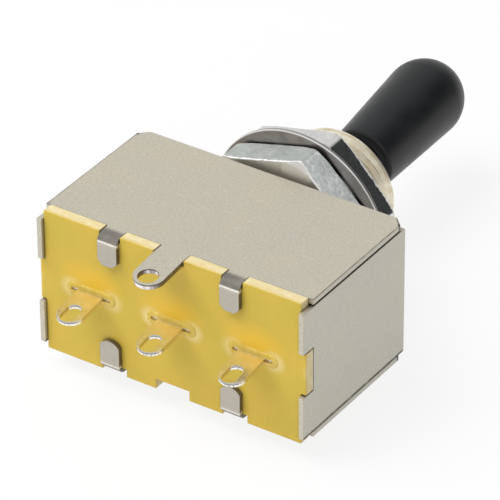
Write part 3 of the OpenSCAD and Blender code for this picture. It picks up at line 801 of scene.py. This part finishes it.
def washer_ring():
    round_steps = 4
    outline = [(washer_hole_r, washer_low.y), (washer_r - washer_round, washer_low.y)]
    for centre_y, first in ((washer_low.y + washer_round, -90), (washer_high.y - washer_round, 0)):
        for step in range(round_steps + 1):
            angle = radians(first + 90 * step / round_steps)
            outline.append((washer_r - washer_round + washer_round * cos(angle),
                            centre_y + washer_round * sin(angle)))
    outline.append((washer_hole_r, washer_high.y))
    mesh = bmesh.new()
    turned(mesh, outline, 192)
    finish_piece(mesh, "plain_washer", washer_finish, "housing", ["washer"])


def dulled_steel():
    finish, tree, shader, place = begin_finish("dulled_steel", (0.34, 0.29, 0.26), 1, 0.35)
    across, along, up = split_axes(tree, place)
    smear = mottle(tree, place, 1.5 * MM, 4, 0.6)
    # The rim carries a painted highlight along its rear edge and a paler painted line along its
    # front.
    past_rear = ramp(tree, along, washer_low.y + 0.09 * MM, washer_low.y + 0.14 * MM)
    near_front = ramp(tree, along, washer_high.y - 0.09 * MM, washer_high.y - 0.04 * MM)
    rim_highlight_band = tint(tree, past_rear, (0.95, 0.94, 0.93), (0.32, 0.305, 0.295))
    rim_highlight_band = tint(tree, near_front, rim_highlight_band, (0.55, 0.54, 0.53))
    on_rim = ramp(tree, length_of(tree, across, up), washer_r - 0.17 * MM, washer_r - 0.07 * MM)
    hue = tint(tree, ramp(tree, smear, 0.35, 0.65), (0.33, 0.30, 0.285), (0.46, 0.43, 0.415))
    hue = tint(tree, on_rim, hue, rim_highlight_band)
    # Painted shade where other surfaces shut the washer in.
    hue = shaded_in_crevices(tree, hue, 0.4 * MM, 0.8, (0.05, 0.045, 0.04))
    tree.links.new(hue, shader.inputs["Base Color"])
    tree.links.new(ramp(tree, smear, 0.3, 0.7, 0.28, 0.45), shader.inputs["Roughness"])
    relief(tree, shader, mottle(tree, place, 0.2 * MM), 0.006 * MM)
    return finish


washer_finish = dulled_steel()
washer_ring()


# Lever: one turned steel piece on a cross pin. Its seat ball turns in the bushing and its
# thread holds the tip. Only the neck and the first turns of the thread show.

dress("lever", drawn_metal("turned_steel", (0.50, 0.50, 0.50), 0.25))
dress("pivot_pin", spring_wire)


# Tip: a moulded black cap, screwed on. It widens towards its domed end, and its lower
# lip is rounded. The surface is satin, with the faint ripple of the mould.

tip_lean = radians(4.3)
tip_up = 8 * MM
tip_length = 17.2 * MM
tip_low_r = 3.35 * MM
tip_top_r = 3.98 * MM
dome_h = 4.1 * MM
dome_fullness = 0.93
tip_lip = 0.3 * MM
tip_bore_r = 2.02 * MM
tip_bore_deep = 9.4 * MM


def satin_black():
    finish, tree, shader, place = begin_finish("satin_black", (0.010, 0.011, 0.012), 0, 0.36)
    ripple = mottle(tree, place, 2.5 * MM, 2)
    fine = mottle(tree, place, 0.12 * MM, 3)
    hue = tint(tree, ramp(tree, ripple, 0.35, 0.65), (0.009, 0.010, 0.011), (0.013, 0.014, 0.015))
    tree.links.new(hue, shader.inputs["Base Color"])
    shader.inputs["Specular IOR Level"].default_value = 0.27
    tree.links.new(ramp(tree, ripple, 0.3, 0.7, 0.33, 0.42), shader.inputs["Roughness"])
    relief(tree, shader, fine, 0.006 * MM)
    return finish


def moulded_tip():
    lip_steps, side_steps, dome_steps = 6, 8, 28
    side_h = tip_length - dome_h
    outline = [
        (0, tip_up + tip_bore_deep), (tip_bore_r, tip_up + tip_bore_deep),
        (tip_bore_r, tip_up + tip_lip), (tip_bore_r + tip_lip, tip_up)]
    for step in range(lip_steps + 1):
        angle = radians(-90 + 90 * step / lip_steps)
        outline.append((tip_low_r - tip_lip + tip_lip * cos(angle),
                        tip_up + tip_lip + tip_lip * sin(angle)))
    for step in range(1, side_steps + 1):
        share = step / side_steps
        outline.append((tip_low_r + (tip_top_r - tip_low_r) * share,
                        tip_up + tip_lip + (side_h - tip_lip) * share))
    for step in range(1, dome_steps):
        angle = pi / 2 * step / dome_steps
        outline.append((tip_top_r * cos(angle) ** dome_fullness,
                        tip_up + side_h + dome_h * sin(angle)))
    outline.append((0, tip_up + tip_length))
    mesh = bmesh.new()
    turned(mesh, outline, closed=False)
    bmesh.ops.rotate(mesh, verts=mesh.verts, matrix=Matrix.Rotation(tip_lean, 3, "Z"))
    bmesh.ops.translate(mesh, verts=mesh.verts, vec=(0, pivot_y, 0))
    finish_piece(mesh, "moulded_tip", satin_black(), "toggle", ["lever_tip"], 50)


moulded_tip()


# The bench: a pale floor in a white room, with a large soft lamp high at the left and a
# small weak one low at the right. Polished metal mirrors the white walls, but for one dark
# corner and a slightly grey patch overhead.

floor_z = cad_box[0].z
sky_strength = 0.42
floor_white = 0.85
dark_places = (((0.6, 0.66, 0.44), 0.97, 0.75, 0.06), ((-0.25, 0.1, 0.96), 0.97, 0.7, 0.75))


def pale_floor():
    mesh = bmesh.new()
    bmesh.ops.create_grid(mesh, x_segments=1, y_segments=1, size=1.5)
    bmesh.ops.translate(mesh, verts=mesh.verts, vec=(0, 0, floor_z))
    data = bpy.data.meshes.new("floor")
    mesh.to_mesh(data)
    mesh.free()
    floor = bpy.data.objects.new("floor", data)
    bpy.context.scene.collection.objects.link(floor)
    finish, tree, shader, place = begin_finish("pale_floor", (0.86, 0.86, 0.86), 0, 0.9)
    tree.links.new(
        tint(tree, mottle(tree, place, 20 * MM), (0.85, 0.85, 0.85), (0.87, 0.87, 0.87)),
        shader.inputs["Base Color"])
    data.materials.append(finish)
    return tree, shader


def white_from(tree, shader_socket, output, share):
    """Mixes a share of white, for camera, mirror and glass rays, over the given shader."""
    rays = tree.nodes.new("ShaderNodeLightPath")
    seen = combine(tree, "MAXIMUM", rays.outputs["Is Camera Ray"], rays.outputs["Is Glossy Ray"])
    seen = combine(tree, "MAXIMUM", seen, rays.outputs["Is Transmission Ray"])
    seen = product(tree, seen, share)
    glow = tree.nodes.new("ShaderNodeEmission")
    mix = tree.nodes.new("ShaderNodeMixShader")
    tree.links.new(seen, mix.inputs["Fac"])
    tree.links.new(shader_socket, mix.inputs[1])
    tree.links.new(glow.outputs["Emission"], mix.inputs[2])
    tree.links.new(mix.outputs["Shader"], output)


def soft_lamp(name, place, size, watts):
    """A square lamp that faces the switch and doesn't show in mirrors."""
    data = bpy.data.lights.new(name, "AREA")
    data.shape = "SQUARE"
    data.size = size
    data.energy = watts
    lamp = bpy.data.objects.new(name, data)
    lamp.location = place
    lamp.rotation_euler = Vector(place).to_track_quat("Z", "Y").to_euler()
    lamp.visible_glossy = False
    bpy.context.scene.collection.objects.link(lamp)


def studio_walls(tree):
    """White for all rays that see the room, but with the dark places for mirror rays."""
    place = tree.nodes.new("ShaderNodeTexCoord").outputs["Generated"]
    glow = tree.nodes["Background"]
    shades = []
    for toward, near, far, shade in dark_places:
        facing = tree.nodes.new("ShaderNodeVectorMath")
        facing.operation = "DOT_PRODUCT"
        facing.inputs[1].default_value = Vector(toward).normalized()
        tree.links.new(place, facing.inputs[0])
        shades.append(ramp(tree, facing.outputs["Value"], far, near, 1, shade))
    walls = tree.nodes.new("ShaderNodeBackground")
    tree.links.new(product(tree, *shades), walls.inputs["Strength"])
    rays = tree.nodes.new("ShaderNodeLightPath")
    mix = tree.nodes.new("ShaderNodeMixShader")
    tree.links.new(rays.outputs["Is Glossy Ray"], mix.inputs["Fac"])
    tree.links.new(glow.outputs["Background"], mix.inputs[1])
    tree.links.new(walls.outputs["Background"], mix.inputs[2])
    white = tree.nodes.new("ShaderNodeBackground")
    final = tree.nodes.new("ShaderNodeMixShader")
    seen = combine(
        tree, "MAXIMUM", rays.outputs["Is Camera Ray"], rays.outputs["Is Transmission Ray"])
    tree.links.new(seen, final.inputs["Fac"])
    tree.links.new(mix.outputs["Shader"], final.inputs[1])
    tree.links.new(white.outputs["Background"], final.inputs[2])
    tree.links.new(final.outputs["Shader"], tree.nodes["World Output"].inputs["Surface"])


floor_tree, floor_shader = pale_floor()
white_from(floor_tree, floor_shader.outputs["BSDF"],
           floor_tree.nodes["Material Output"].inputs["Surface"], floor_white)
world = bpy.data.worlds.new("studio")
bpy.context.scene.world = world
world.use_nodes = True
sky = world.node_tree.nodes["Background"]
sky.inputs["Color"].default_value = (1, 1, 1, 1)
sky.inputs["Strength"].default_value = sky_strength
studio_walls(world.node_tree)

soft_lamp("key_lamp", (-0.22, -0.16, 0.48), size=0.42, watts=3.0)
soft_lamp("fill_lamp", (0.30, -0.35, 0.20), size=0.25, watts=0.2)


# The camera stands behind the terminals, above and to the right of the case, with a
# long lens turned very slightly about its axis.

camera_data = bpy.data.cameras.new("camera")
camera_data.sensor_width = 36
camera_data.lens = 320.8
camera_data.clip_start = 0.05
camera_data.clip_end = 10
camera = bpy.data.objects.new("camera", camera_data)
azimuth, elevation, roll = radians(33.884), radians(33.313), radians(-0.427)
aim = Vector((5.16, -19.10, 7.17)) * MM
stand_off = 400 * MM
away = Vector((sin(azimuth) * cos(elevation), -cos(azimuth) * cos(elevation), sin(elevation)))
camera.location = aim + stand_off * away
upright = (-away).to_track_quat("-Z", "Y").to_matrix()
camera.rotation_euler = (upright @ Matrix.Rotation(roll, 3, "Z")).to_euler()
bpy.context.scene.collection.objects.link(camera)
bpy.context.scene.camera = camera
bpy.context.scene.view_settings.view_transform = "Standard"
